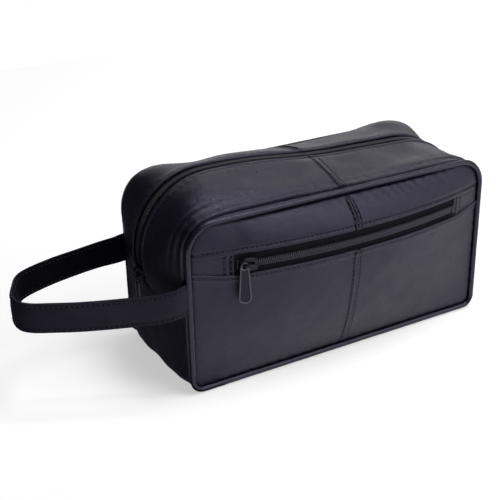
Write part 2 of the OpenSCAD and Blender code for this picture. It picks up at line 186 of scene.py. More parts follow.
def instances(name, shape, faces, origins, along, out, material):
    """Copies of a small shape: its x runs along each direction and its z points out."""
    along = unit(along)
    out = unit(out - np.einsum("ij,ij->i", out, along)[:, None] * along)
    across = np.cross(out, along)
    points = (origins[:, None] + shape[None, :, 0:1] * along[:, None] + shape[None, :, 1:2] * across[:, None]
              + shape[None, :, 2:3] * out[:, None])
    count = len(shape)
    every = [tuple(i + k * count for i in f) for k in range(len(origins)) for f in faces]
    return mesh_object(name, points, every, material)


def unit(v):
    return v / np.maximum(np.linalg.norm(v, axis=-1, keepdims=True), 1e-9)


def distances(points):
    """How far along a line of points each of them lies."""
    return np.concatenate([[0], np.cumsum(np.linalg.norm(np.diff(points, axis=0), axis=1))])


def resample(at, length, values):
    """Rows of values at those distances along a line."""
    return np.stack([np.interp(at, length, column) for column in values.T], 1)


def capsule(length, radius, height, rings=5, sides=6, dip=0.0):
    """A thread or tooth lying along x, tapered at its ends, which dip by that much."""
    xs = np.sin(np.linspace(-math.pi / 2, math.pi / 2, rings)) * length / 2
    taper = np.sqrt(np.maximum(0.08, 1 - (2 * xs / length) ** 4))
    turn = np.linspace(0, 2 * math.pi, sides, endpoint=False)
    points = [[x, radius * t * math.cos(a), height * t * math.sin(a) - dip * (2 * x / length) ** 4]
              for x, t in zip(xs, taper) for a in turn]
    faces = [(i * sides + k, (i + 1) * sides + k, (i + 1) * sides + m, i * sides + m)
             for i in range(rings - 1) for k, m in ((k, (k + 1) % sides) for k in range(sides))]
    faces += [tuple(range(sides))[::-1], tuple(range((rings - 1) * sides, rings * sides))]
    return np.array(points), faces


def joined(name, parts):
    """Several mesh objects made into one."""
    mesh = bmesh.new()
    for part in parts:
        mesh.from_mesh(part.data)
    data = bpy.data.meshes.new(name)
    mesh.to_mesh(data)
    mesh.free()
    data.materials.append(parts[0].data.materials[0])
    for part in parts:
        bpy.data.objects.remove(part)
    return linked(name, data)


# -------- surfaces

def noise(x, y, size_x, size_y, seed):
    """Smooth random relief from -1 to 1 with features of about that size."""
    table = np.random.RandomState(seed).uniform(-1, 1, (64, 64))
    gx, gy = x / size_x + 1000, y / size_y + 1000
    ix, iy = np.floor(gx).astype(int), np.floor(gy).astype(int)
    fx, fy = gx - ix, gy - iy
    fx, fy = (f * f * f * (f * (f * 6 - 15) + 10) for f in (fx, fy))
    corner = [[table[(ix + a) % 64, (iy + b) % 64] for b in (0, 1)] for a in (0, 1)]
    return ((corner[0][0] * (1 - fx) + corner[1][0] * fx) * (1 - fy)
            + (corner[0][1] * (1 - fx) + corner[1][1] * fx) * fy)


def bell(d, width):
    return np.exp(-(d / width) ** 2)


def smooth(k):
    k = np.clip(k, 0, 1)
    return k * k * (3 - 2 * k)


def roll(d, r):
    """How far a turned edge of radius r falls away at distance d from its end."""
    k = np.clip(r - d, 0, r)
    return r - np.sqrt(np.maximum(0, r * r - k * k))


def spaced(a, b, step, fine_a=True, fine_b=True):
    """Places from a to b, closer together at the turned edges."""
    n = max(2, int(abs(b - a) / step))
    places = set(np.linspace(a, b, n + 1))
    sign = 1 if b > a else -1
    for near in (0.04, 0.15, 0.35, 0.65, 1.0):
        if fine_a:
            places.add(a + sign * near)
        if fine_b:
            places.add(b - sign * near)
    return np.array(sorted(places, reverse=sign < 0))


def with_groove(places, *centres):
    """The places with more of them close to each groove."""
    near = (0, 0.3, 0.6, 0.95, 1.4)
    extra = [c + sign * n for c in centres for n in near for sign in (-1, 1)]
    inside = [x for x in extra if min(places) < x < max(places)]
    return np.array(sorted(set(np.round(np.concatenate([places, inside]), 4))))


def normals(point, u, v):
    step = 0.15
    du = point(u + step, v) - point(u - step, v)
    dv = point(u, v + step) - point(u, v - step)
    return unit(np.cross(du, dv))


def sheet(name, point, us, vs, relief, sign, material, thick=LEATHER, depth=0.0):
    """Leather or cloth over point(u, v), raised by relief(u, v) along the outward side."""
    u, v = np.meshgrid(us, vs, indexing="ij")
    base = point(u, v)
    out = sign * normals(point, u, v)
    high = relief(u, v) if relief else np.zeros_like(u)
    return solid(name, base + out * (high - depth)[..., None], base - out * (depth + thick), material)


def stitch_line(point, relief, sign, u, v):
    """Origins, directions and outward sides of stitches along the line u, v of a surface."""
    u, v = np.broadcast_arrays(np.asarray(u, float), np.asarray(v, float))
    out = sign * normals(point, u, v)
    base = point(u, v) + out * (relief(u, v) if relief else np.zeros_like(u))[..., None]
    length = distances(base)
    count = max(2, int(length[-1] / STITCH_PITCH))
    at = (np.arange(count) + 0.5) * length[-1] / count
    ahead = resample(at + 0.5, length, base) - resample(at - 0.5, length, base)
    return resample(at, length, base), ahead, resample(at, length, out)


def stitches(name, lines, material):
    shape, faces = capsule(2.2, 0.46, 0.45, dip=0.6)
    origins, along, out = (np.concatenate([line[k] for line in lines]) for k in range(3))
    return instances(name, shape, faces, origins + unit(out) * 0.4, along, out, material)


# -------- the gusset's surface

def outline_hit(cx, angle):
    """Where a ray from the corner's centre meets the piping outline."""
    d = np.array([math.cos(math.radians(angle)), math.sin(math.radians(angle))])
    if angle < 80:
        side = CORNER[2] + (HALF_X - cx) * d[1] / d[0]
        if side <= TOP - TOP_R:
            return [HALF_X, side]
    if angle > 10:
        above = cx + (TOP - CORNER[2]) * d[0] / d[1]
        if above <= HALF_X - TOP_R:
            return [above, TOP]
    v = np.array([HALF_X - TOP_R - cx, TOP - TOP_R - CORNER[2]])
    reach = v @ d + math.sqrt((v @ d) ** 2 - v @ v + TOP_R ** 2)
    return [cx + reach * d[0], CORNER[2] + reach * d[1]]


def ridge(x):
    return RIDGE_LEFT + (RIDGE_RIGHT - RIDGE_LEFT) * (1 - np.cos(math.pi * np.clip((x + 70) / 100, 0, 1))) / 2


def blurred(line, width):
    """A line of points 1 mm apart, smoothed over that width, with its ends kept."""
    reach = int(3 * width)
    kernel = bell(np.arange(-reach, reach + 1), width * math.sqrt(2))
    padded = np.concatenate([2 * line[0] - line[reach:0:-1], line, 2 * line[-1] - line[-2:-reach - 2:-1]])
    return np.stack([np.convolve(padded[:, k], kernel / kernel.sum(), "valid") for k in range(2)], 1)


class Gusset:
    """One end's gusset from the foot to the middle of the top: s is the distance along the crown line."""

    def __init__(self, end):
        self.end, self.side = end, end["side"]
        self.name = "left" if self.side < 0 else "right"
        rows = []
        for a in np.radians(np.linspace(-90, 0, 13)[:-1]):
            rows.append([*(FOOT + FOOT_R * np.array([math.cos(a), math.sin(a)])),
                         FOOT[0] + end["foot"] * math.cos(a), end["foot"] * (1 + math.sin(a)) + 0.3])
        low = [*outline_hit(end["cx"], end["low"]), *self.crown(end["low"])]
        start = [HALF_X, FOOT[1], FOOT[0] + end["foot"], end["foot"] + 0.3]
        rows += [list(np.array(start) + k * (np.array(low) - start)) for k in np.linspace(0, 1, 25)[:-1]]
        for a in np.linspace(end["low"], 90, 61):
            rows.append([*outline_hit(end["cx"], a), *self.crown(a)])
        for x in np.linspace(end["cx"], -4, 60)[1:]:
            rows.append([x, TOP, x, ridge(self.side * x)])
        rows = np.array(rows)
        length = distances(rows[:, 2:])
        self.s = np.arange(0, length[-1], 1.0)
        even = resample(self.s, length, rows)
        self.edge, self.line = blurred(even[:, :2], 1.5), blurred(even[:, 2:], 4.0)
        self.zip_low = self.at_angle(end["low"])
        self.middle = self.at_x(0)
        self.corner = self.at_angle(40)

    def crown(self, angle):
        a = math.radians(angle)
        return [self.end["cx"] + self.end["reach"] * math.cos(a), CORNER[2] + self.end["rise"] * math.sin(a)]

    def at_angle(self, angle):
        """Distance along the crown line of the point at that angle round the corner."""
        return float(self.s[np.argmin(np.linalg.norm(self.line - self.crown(angle), axis=1))])

    def at_x(self, x):
        """Distance along the crown line of the point that far from the bag's middle."""
        return float(np.interp(-x, -self.line[:, 0], self.s))

    def point(self, s, y):
        p = [np.interp(s, self.s, self.edge[:, k]) for k in range(2)]
        z = [np.interp(s, self.s, self.line[:, k]) for k in range(2)]
        f = 1 - np.clip(np.abs(y) / HALF_Y, 0, 1) ** CROWN_POWER
        x, height = p[0] + (z[0] - p[0]) * f, p[1] + (z[1] - p[1]) * f
        away = unit(np.stack([np.maximum(x - self.end["cx"], 0), np.maximum(height - CORNER[2], 0) + 5], -1))
        puffed = self.puff(s, y) * (1 - (y / HALF_Y) ** 8)
        x, height = x + puffed * away[..., 0], height + puffed * away[..., 1]
        return np.stack([self.side * x, y + 0 * x, height], -1)

    def puff(self, s, y):
        """The rear half stands out at both top corners, and the front strip slopes evenly to the piping."""
        turn = s - self.corner
        if self.side < 0:
            rear = 7.6 * bell(turn - 10, 28) * bell(y - 36, 15) - 1.5 * bell(turn - 85, 45) * bell(y - 30, 22)
        else:
            spread = np.where(turn > 15, 38, 28)
            rear = (7.4 * bell(turn - 15, spread) * bell(y - 35, 15)
                    - 1.9 * bell(turn - 38, 40) * bell(y + 3, 20))
        return rear - 2.2 * smooth((turn - 10) / 40) * bell(y + 27, 15)

    def wrinkles(self, s, y):
        """Soft undulations, a ridge beside the piping, and puckers round the top corner."""
        ay = np.abs(y)
        seed = 3 + (self.side > 0) * 10
        from_pipe = HALF_Y - ay
        turn = bell(s - self.corner, 26) + 0.08 * bell(s - self.corner - 60, 60)
        h = 1.3 * noise(s, y, 46, 24, seed) * smooth((from_pipe - 6) / 14)
        h = h + 0.3 * noise(s, y, 21, 12, seed + 1) * smooth((from_pipe - 5) / 10)
        amount = (0.62 + 0.38 * noise(s, y, 21, 60, seed + 4)) * np.where(y < 0, 1.0, 0.55)
        shift = 0.6 * noise(s, y, 17, 80, seed + 5)
        h = h + amount * (0.8 * bell(from_pipe - 5.0 - shift, 1.4)
                          - (0.1 + 0.4 * turn) * bell(from_pipe - 8.8, 1.8))
        h = h - 1.9 * bell(from_pipe - 2.6, 1.15)
        h = h + amount * turn * (1.1 * bell(from_pipe - 11.2 + shift, 1.6) + 0.6 * bell(from_pipe - 16.5, 2.0)
                                 - 0.8 * bell(from_pipe - 13.9, 1.3))
        pucker = np.sin(2 * math.pi * (s + 4 * noise(s, y, 30, 30, seed + 2)) / 8.5)
        return h + 0.1 * pucker * np.exp(-np.maximum(0, from_pipe - 7) / 6) * smooth((from_pipe - 3) / 4)

    def seam(self, s):
        """The raised joint across the middle of the top."""
        return seam_relief(np.interp(s, self.s, self.line[:, 0]))

    def strip_relief(self, s, y):
        edge = np.abs(y) - SEAM_EDGE
        h = self.wrinkles(s, y) * smooth((edge - 1) / 6) + self.seam(s) * smooth(edge / 1.5)
        h = h + 0.45 * bell(edge - 1.2, 1.1) - 0.95 * bell(edge - ZIP_ROW, 0.7)
        pucker = np.sin(2 * math.pi * (s + 3 * noise(s, y, 24, 24, 31)) / 7)
        return h + 0.12 * pucker * bell(edge - 5, 3) - roll(edge, 1.0)

    def end_relief(self, s, y):
        return self.wrinkles(s, y) * smooth(s / 8) - roll(s - 1, 1.0) * 0.8


def bend_flap(obj):
    """Applies the piece's transform to its mesh."""
    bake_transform(obj)


# -------- materials

def put(node, values):
    for name, value in values.items():
        node.inputs[name].default_value = value


def material(name, colour, rough, metallic=0.0, gloss=0.5, tint=(0.77, 0.73, 1.0)):
    """A plain shader. Everything black on the bag mirrors light with the same faint violet."""
    made = bpy.data.materials.new(name)
    made.use_nodes = True
    shader = made.node_tree.nodes["Principled BSDF"]
    put(shader, {"Base Color": (*colour, 1), "Roughness": rough, "Metallic": metallic,
                 "Specular IOR Level": gloss, "Specular Tint": (*tint, 1)})
    return made, shader


class Nodes:
    """Short ways to add the nodes that the materials share."""

    def __init__(self, made):
        self.tree = made.node_tree
        self.coordinates = self.add("ShaderNodeTexCoord").outputs["Object"]

    def add(self, kind, **settings):
        node = self.tree.nodes.new(kind)
        for name, value in settings.items():
            setattr(node, name, value)
        return node

    def link(self, a, b):
        self.tree.links.new(a, b)

    def noise(self, per_metre, detail, rough=0.55):
        node = self.add("ShaderNodeTexNoise")
        put(node, {"Scale": per_metre, "Detail": detail, "Roughness": rough})
        self.link(self.coordinates, node.inputs["Vector"])
        return node.outputs["Fac"]

    def cells(self, per_metre):
        """How far each place is from the border of its cell."""
        node = self.add("ShaderNodeTexVoronoi", feature="DISTANCE_TO_EDGE")
        put(node, {"Scale": per_metre})
        self.link(self.coordinates, node.inputs["Vector"])
        return node.outputs["Distance"]

    def spread(self, value, low, high, to_low, to_high):
        node = self.add("ShaderNodeMapRange")
        put(node, {"From Min": low, "From Max": high, "To Min": to_low, "To Max": to_high})
        self.link(value, node.inputs["Value"])
        return node.outputs["Result"]

    def mottle(self, shader, colour, lighter, per_metre, detail):
        """The base colour, with patches that are lighter by that factor."""
        node = self.add("ShaderNodeValToRGB")
        node.color_ramp.elements[0].color = (*colour, 1)
        node.color_ramp.elements[1].color = (*(c * lighter for c in colour), 1)
        node.color_ramp.elements[0].position = 0.3
        node.color_ramp.elements[1].position = 0.7
        self.link(self.noise(per_metre, detail), node.inputs["Fac"])
        self.link(node.outputs["Color"], shader.inputs["Base Color"])

    def bump(self, value, distance, strength, before=None):
        node = self.add("ShaderNodeBump")
        put(node, {"Distance": distance, "Strength": strength})
        self.link(value, node.inputs["Height"])
        if before is not None:
            self.link(before, node.inputs["Normal"])
        return node.outputs["Normal"]


def leather(name, colour=(0.0042, 0.0036, 0.0085), rough=0.35, grain=1.0, gloss=0.5):
    made, shader = material(name, colour, rough, gloss=gloss)
    n = Nodes(made)
    n.mottle(shader, colour, 1.6, 55, 5)
    n.link(n.spread(n.noise(70, 6), 0.3, 0.7, rough - 0.08, rough + 0.08), shader.inputs["Roughness"])
    creases = n.bump(n.noise(110, 7, 0.55), 0.0014, 0.3 * grain)
    pebbles = n.bump(n.spread(n.cells(1250), 0.0, 0.25, 0.0, 1.0), 0.00012, 0.6 * grain, creases)
    n.link(n.bump(n.noise(4200, 3), 0.00006, 0.4 * grain, pebbles), shader.inputs["Normal"])
    return made


def woven(name, colour, threads_per_metre, rough=0.85, relief=0.00018, gloss=0.2):
    """Cloth: crossed waves of threads with a little fuzz."""
    made, shader = material(name, colour, rough, gloss=gloss)
    n = Nodes(made)
    waves = []
    for direction in ("X", "Y", "Z"):
        wave = n.add("ShaderNodeTexWave", bands_direction=direction)
        put(wave, {"Scale": threads_per_metre, "Distortion": 0.6})
        n.link(n.coordinates, wave.inputs["Vector"])
        waves.append(wave.outputs["Fac"])
    both = n.add("ShaderNodeMath", operation="MULTIPLY")
    n.link(waves[0], both.inputs[0])
    n.link(waves[1], both.inputs[1])
    third = n.add("ShaderNodeMath", operation="MULTIPLY_ADD")
    n.link(both.outputs[0], third.inputs[0])
    n.link(waves[2], third.inputs[1])
    third.inputs[2].default_value = 0.1
    n.mottle(shader, colour, 1.5, 90, 5)
    fuzz = n.bump(n.noise(3000, 3), 0.0001, 0.5)
    n.link(n.bump(third.outputs[0], relief, 0.7, fuzz), shader.inputs["Normal"])
    return made


def plastic(name, colour, rough, gloss=0.5):
    made, shader = material(name, colour, rough, gloss=gloss)
    n = Nodes(made)
    n.mottle(shader, colour, 1.4, 700, 3)
    n.link(n.bump(n.noise(2500, 4), 0.00005, 0.4), shader.inputs["Normal"])
    return made


def painted_metal(name, colour, rough):
    """Black paint over metal, with a faint orange-peel and scuffs."""
    made, shader = material(name, colour, rough, metallic=0.55)
    n = Nodes(made)
    n.mottle(shader, colour, 1.3, 300, 4)
    n.link(n.spread(n.noise(500, 3), 0.3, 0.7, rough - 0.04, rough + 0.06), shader.inputs["Roughness"])
    n.link(n.bump(n.noise(1500, 2), 0.000008, 0.15), shader.inputs["Normal"])
    return made


BAG_LEATHER = leather("bag_leather")
PIPING_LEATHER = leather("piping_leather", rough=0.27, grain=0.5, gloss=0.55)
STRAP_LEATHER = leather("strap_leather", (0.0045, 0.0038, 0.0085), 0.5, 1.6, 0.3)
# The back ply is darker and duller than the face: partly its own backing leather, partly painted shade on the
# strap's inner side.
STRAP_BACKING_SHADED = leather("strap_backing_shaded", (0.0022, 0.0019, 0.0034), 0.75, 1.8, 0.08)
TAPE = woven("zip_tape", (0.0028, 0.0026, 0.004), 900)
# The coil's grey is a painted highlight: it is set much lighter than the tape's so that the teeth read as
# catching light.
COIL = plastic("zip_coil", (0.032, 0.031, 0.038), 0.32, gloss=0.7)
METAL = painted_metal("zip_metal", (0.01, 0.0094, 0.0136), 0.25)
# Lighter paint for the pulls' rims and eyes: partly worn paint, partly a painted highlight on the raised
# rims.
WORN_AND_HIGHLIT_METAL = painted_metal("zip_metal_worn_and_highlit", (0.07, 0.067, 0.08), 0.3)
# The thread is set lighter than the leather as a painted sheen, so that the stitches read as light dashes.
THREAD = woven("thread", (0.042, 0.04, 0.051), 2500, 0.4, 0.00006, 0.5)
STRAP_THREAD = woven("strap_thread", (0.016, 0.015, 0.02), 2500, 0.5, 0.00006, 0.3)
LINING = woven("lining_cloth", (0.02, 0.02, 0.024), 600)
BOARD = plastic("board", (0.12, 0.12, 0.12), 0.7)


def finish_piece(obj, slot, *nodes):
    if nodes:
        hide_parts(*nodes)
    return obj


def on_bag(obj, slot, *nodes):
    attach(finish_piece(obj, slot, *nodes), "bag")


def panel(name, node, point, us, vs, relief, sign):
    """A leather panel of the bag, in place of its CAD node."""
    on_bag(sheet(name, point, us, vs, relief, sign, BAG_LEATHER), "bag_leather", node)


def lining(name, point, us, vs, folds, sign, depth=LINING_DEPTH, thick=CLOTH):
    """A piece of lining with its CAD node's own name."""
    on_bag(sheet(name, point, us, vs, folds, sign, LINING, thick, depth), "lining_cloth", name)


# -------- the gusset, its zip and its lining

def gusset_half(gusset, front):
    """One quarter of the zipped gusset: leather, stitches, tape, coil and lining."""
    depth_name = "front" if front else "rear"
    tail = f"{depth_name}_{gusset.name}"
    sign_y = -1 if front else 1
    sign = out_sign(gusset)
    s = spaced(gusset.zip_low + 0.6, gusset.middle, 1.1, fine_b=False)
    joint = [gusset.at_x(x) for x in (0.8, 1.8, 2.1, 2.3, 2.5, 2.7, 3.0, 3.6)]
    s = np.unique(np.concatenate([s, joint]))
    beside_pipe = HALF_Y - np.arange(1.2, 9, 0.4)
    y = np.unique(np.concatenate([spaced(SEAM_EDGE, HALF_Y - 0.9, 0.9, fine_b=False), beside_pipe]))
    y = sign_y * with_groove(y, SEAM_EDGE + ZIP_ROW)
    skin = sheet(f"gusset_{tail}", gusset.point, s, y, gusset.strip_relief, sign, BAG_LEATHER)
    finish_piece(skin, "bag_leather", f"gusset_corner_{tail}", f"gusset_top_{tail}")
    zip_line = np.linspace(gusset.zip_low + 2, gusset.middle, 200)
    across = np.linspace(SEAM_EDGE + 1.5, HALF_Y - 4, 30) * sign_y
    rows = (zip_line, sign_y * (SEAM_EDGE + ZIP_ROW)), (gusset.at_x(TOP_JOINT_ROW), across)
    lines = [stitch_line(gusset.point, gusset.strip_relief, sign, *row) for row in rows]
    thread = finish_piece(stitches(f"gusset_stitches_{tail}", lines, THREAD), "thread")
    tape_y = sign_y * np.linspace(0.15, 11, 14)
    ripple = lambda a, b: 0.12 * noise(a, b, 9, 4, 5) - 0.25 * bell(np.abs(b) - 4.6, 0.6)
    tape = sheet(f"zip_tape_{tail}", gusset.point, s, tape_y, ripple, sign, TAPE, CLOTH, TAPE_DEPTH)
    finish_piece(tape, "zip_tape", f"main_zip_tape_{tail}", f"main_zip_tape_{depth_name}_top")
    coil = coil_row(f"zip_coil_{tail}", gusset.point, sign, gusset.zip_low + 4.5, gusset.middle, sign_y)
    finish_piece(coil, "zip_coil", f"main_zip_coil_{gusset.name}", f"main_zip_coil_{depth_name}_top")
    cloth_s = spaced(gusset.zip_low, gusset.middle, 4, False, False)
    cloth_y = sign_y * np.linspace(8, HALF_Y - 5.5, 14)
    folds = lambda a, b: 0.35 * noise(a, b, 22, 9, 8)
    cloth = sheet(f"lining_{tail}", gusset.point, cloth_s, cloth_y, folds, sign, LINING, CLOTH, LINING_DEPTH)
    finish_piece(cloth, "lining_cloth", f"lining_top_{depth_name}")
    for piece in (skin, thread, tape, coil, cloth):
        bend_flap(piece)


def out_sign(gusset):
    """Which way round the gusset's normals have to be taken to point out of the bag."""
    s, y = np.array([gusset.corner]), np.array([0.0])
    n = normals(gusset.point, s, y)[0]
    away = gusset.point(s, y)[0] - np.array([0, 0, CORNER[2] - 30])
    return 1.0 if n @ away > 0 else -1.0


def coil_row(name, point, sign, start, stop, sign_y):
    """One side of the coil: teeth that reach just past the middle, half a pitch from the other side's."""
    line = np.linspace(start, stop, 400)
    middle = point(line, np.zeros_like(line))
    length = distances(middle)
    at = np.arange(0.5 + (0.5 if sign_y > 0 else 0.0), length[-1] / COIL_PITCH) * COIL_PITCH
    s = np.interp(at, length, line)
    out = sign * normals(point, s, np.zeros_like(s))
    ahead = point(s + 0.3, np.zeros_like(s)) - point(s - 0.3, np.zeros_like(s))
    across = unit(np.cross(out, unit(ahead)))
    across *= np.sign(across[:, 1] * sign_y + 1e-12)[:, None]
    return teeth(name, point(s, np.zeros_like(s)), across, out)


def teeth(name, middle, across, out):
    shape, faces = capsule(COIL_HALF + 0.45, 0.52, 0.85, rings=7, sides=8)
    shape[:, 0] += COIL_HALF / 2 - 0.22
    return instances(name, shape, faces, middle - out * COIL_DEPTH, across, out, COIL)


def end_panel(gusset):
    """The plain lower part of an end, below the zip."""
    sign = out_sign(gusset)
    s = spaced(0.2, gusset.zip_low, 1.2)
    y = np.linspace(-HALF_Y + 0.9, HALF_Y - 0.9, 100)
    name = f"end_gusset_{gusset.name}"
    panel(name, name, gusset.point, s, y, gusset.end_relief, sign)
    across = np.linspace(-HALF_Y + 8, HALF_Y - 8, 60)
    line = stitch_line(gusset.point, gusset.end_relief, sign, gusset.zip_low - 3, across)
    on_bag(stitches(f"end_stitches_{gusset.name}", [line], THREAD), "thread")
    cloth_y = np.linspace(-HALF_Y + 6, HALF_Y - 5, 24)
    folds = lambda a, b: 0.5 * noise(a, b, 26, 14, 9)
    cloth_s = spaced(2, gusset.zip_low, 4, False, False)
    lining(f"lining_end_{gusset.name}", gusset.point, cloth_s, cloth_y, folds, sign)


def zip_stop(point, along, across, middle, half, sign, depth):
    """A moulded stop at one end of a zip, with its edges rounded off."""
    crowned = lambda a, b: -0.5 * (np.abs(b - middle) / half) ** 4
    return sheet("stop", point, along, across, crowned, sign, METAL, 1.2, depth)


def main_zip_stops(gussets):
    parts = []
    for gusset in gussets:
        s = np.linspace(gusset.zip_low + 1.2, gusset.zip_low + 4, 6)
        y = np.linspace(-COIL_HALF - 0.4, COIL_HALF + 0.4, 12)
        parts.append(zip_stop(gusset.point, s, y, 0, 3.2, out_sign(gusset), 0.5))
    on_bag(joined("main_zip_stops", parts), "zip_metal", "main_zip_stops")


# -------- front and back

def panel_half(z):
    """Half the width of a panel at that height."""
    low_r, high_r = FOOT_R - PANEL_INSET, TOP_R - PANEL_INSET
    foot = np.sqrt(np.maximum(0, low_r ** 2 - np.minimum(0, z - FOOT[1]) ** 2)) - low_r
    head = np.sqrt(np.maximum(0, high_r ** 2 - np.maximum(0, z - TOP + TOP_R) ** 2)) - high_r
    return PANEL_REACH + foot + head


def edge_distance(x, z):
    """Distance from the piping line, inside a rectangle with round corners."""
    r = np.where(z > TOP / 2, TOP_R, FOOT_R)
    middle = (TOP + PIPE_LOW) / 2
    qx = np.abs(x) - HALF_X + r
    qz = np.abs(z - middle) - (TOP - PIPE_LOW) / 2 + r
    outside = np.hypot(np.maximum(qx, 0), np.maximum(qz, 0)) + np.minimum(np.maximum(qx, qz), 0)
    return r - outside


def swell(z):
    """The share of the front's bow at that height: all of it at the pocket's zip, none at the piping."""
    low, high = PIPE_LOW + PIPE_R, TOP - PIPE_R
    plateau = (POCKET_Z - 7, POCKET_Z + 9)
    rise = np.sin(math.pi / 2 * np.clip((z - low) / (plateau[0] - low), 0, 1)) ** 0.9
    fall = np.cos(math.pi / 2 * np.clip((z - plateau[1]) / (high + 0.4 - plateau[1]), 0, 1)) ** 0.85
    return rise * fall


def front_point(u, z):
    bow = np.sqrt(TRACK_R ** 2 - (u * CAD_REACH) ** 2) - TRACK_R + CROWN_FRONT
    return np.stack([u * panel_half(z), -HALF_Y - swell(z) * bow, z], -1)


def back_point(u, z):
    low, high = PIPE_LOW + PIPE_R, TOP - PIPE_R
    rise = np.sin(math.pi * np.clip((z - low) / (high - low), 0, 1)) ** 0.8
    return np.stack([u * panel_half(z), HALF_Y + CROWN_BACK * (1 - u * u) * rise, z], -1)


def seam_relief(d):
    """A taped joint: a flat raised band held by a row of stitches in a groove at each side."""
    d = np.abs(d)
    return 0.45 * smooth((2.6 - d) / 0.5) - 0.85 * bell(d - 2.5, 0.5)


def body_relief(u, z, seed):
    """What the front and the back share: the dip at the piping, soft dents and the middle joint."""
    x = u * panel_half(z)
    d = edge_distance(x, z)
    pucker = np.sin(2 * math.pi * (x + z + 5 * noise(x, z, 30, 30, seed)) / 9)
    h = -1.3 * np.exp(-np.maximum(0, d - 1.3) / 1.3) + 0.12 * pucker * np.exp(-np.maximum(0, d - 4) / 5)
    dents = 0.7 * noise(x, z, 48, 26, seed + 1) + 0.16 * noise(x, z, 13, 11, seed + 2)
    h = h + dents * smooth((d - 3) / 16)
    return h + seam_relief(x) * smooth((d - 2) / 4)


def top_panel_relief(u, z):
    x = u * panel_half(z)
    lip = z - WINDOW[1]
    in_window = smooth((WINDOW_REACH + 1 - np.abs(x)) / 2)
    h = body_relief(u, z, 50) - 0.9 * bell(x + 92, 9) * bell(z - 116, 7)
    h = h + in_window * (0.45 * bell(lip - 1.7, 1.2) - roll(lip, 1.0))
    return h - 1.0 * bell(lip - TOP_ROW, 0.7) + 0.25 * bell(lip - 5.9, 1.2)


def pocket_edge(u):
    """Height of the pocket's top edge: it rises where it is sewn into the piping."""
    x = np.abs(u * PANEL_REACH)
    return WINDOW[0] + 4.2 * smooth((x - WINDOW_REACH + 2) / 31) ** 1.5


def pocket_point(u, z):
    """The pocket's front, stretched so that its last row lies on the rising edge."""
    k = smooth((z - 55) / (WINDOW[0] - 55))
    return front_point(u, z + k * (pocket_edge(u) - WINDOW[0]))


def pocket_relief(u, z):
    lip = WINDOW[0] - z
    h = body_relief(u, z, 60) * smooth(lip / 6)
    x = u * panel_half(z)
    h = h + seam_relief(x) * smooth((6 - lip) / 4) * smooth(lip / 1.2)
    h = h + 0.9 * smooth((7 - lip) / 7) + 0.25 * bell(lip - 1.0, 0.8)
    return h - 0.85 * bell(lip - LIP_ROW, 0.6) - roll(lip, 1.0)


def tab_relief(u, z):
    x = np.abs(u * panel_half(z))
    h = body_relief(u, z, 50) - roll(x - WINDOW_REACH, 1.0)
    for row in TAB_ROWS:
        h = h - 0.85 * bell(x - WINDOW_REACH - row, 0.6)
    return h + 0.45 * bell(x - WINDOW_REACH - 4.9, 1.6) + 0.3 * bell(x - WINDOW_REACH - 1.2, 0.9)


def panel_u(a, b):
    """Places across a panel as shares of its half width, with more of them at the middle joint."""
    near = (1.4, 1.8, 2.05, 2.25, 2.45, 2.65, 2.85, 3.1, 3.5, 4.1)
    extra = [sign * x for x in near for sign in (-1, 1)]
    us = set(np.linspace(a, b, int((b - a) * PANEL_REACH / 1.3)))
    us |= {x / PANEL_REACH for x in extra if a < x / PANEL_REACH < b}
    return np.array(sorted(us))


def head_rows(start):
    arc = [TOP - TOP_R + (TOP_R - PANEL_INSET) * math.sin(a) for a in np.linspace(0, math.pi / 2, 14)]
    straight = [z for z in spaced(start, TOP - TOP_R, 1.1, True, False) if z < arc[0] - 0.2]
    return with_groove(np.array(straight + arc), start + TOP_ROW)


def foot_rows(stop):
    arc = [FOOT[1] - (FOOT_R - PANEL_INSET) * math.cos(a) for a in np.linspace(0, math.pi / 2, 8)]
    straight = [z for z in spaced(FOOT[1], stop, 1.4, False, True) if z > arc[-1] + 0.2]
    return with_groove(np.array(arc + straight), stop - LIP_ROW)


def front_panels():
    lines = []
    for name, side, ends in (("left", -1, (-1.0, 0.0)), ("right", 1, (0.0, 1.0))):
        us = panel_u(*ends)
        panel(f"front_top_{name}", f"front_top_panel_{name}", front_point, us, head_rows(WINDOW[1]),
              top_panel_relief, 1)
        panel(f"pocket_front_{name}", f"pocket_panel_{name}", pocket_point, us, foot_rows(WINDOW[0]),
              pocket_relief, 1)
        rows = [WINDOW_REACH + row for row in TAB_ROWS]
        tab_u = with_groove(spaced(WINDOW_REACH, PANEL_REACH, 1.0, True, False), *rows) / PANEL_REACH
        tab_u = tab_u if side > 0 else -tab_u[::-1]
        tab_z = np.linspace(WINDOW[0] - 1.5, WINDOW[1], 16)
        panel(f"pocket_tab_{name}", f"pocket_end_tab_{name}", front_point, tab_u, tab_z, tab_relief, 1)
        up = np.linspace(WINDOW[0] + 1, WINDOW[1] - 0.5, 20)
        for x in rows:
            lines.append(stitch_line(front_point, tab_relief, 1, side * x / PANEL_REACH, up))
        for start, stop, relief in ((WINDOW[1] + 5, TOP - 4, top_panel_relief),
                                    (PIPE_LOW + 5, WINDOW[0] - 4, pocket_relief)):
            up = np.linspace(start, stop, 60)
            lines.append(stitch_line(front_point, relief, 1, side * JOINT_ROW / PANEL_REACH, up))
    along = np.linspace(-0.985, 0.985, 300)
    lines.append(stitch_line(front_point, top_panel_relief, 1, along, WINDOW[1] + TOP_ROW))
    lines.append(stitch_line(pocket_point, pocket_relief, 1, along, WINDOW[0] - LIP_ROW))
    on_bag(stitches("front_stitches", lines, THREAD), "thread")


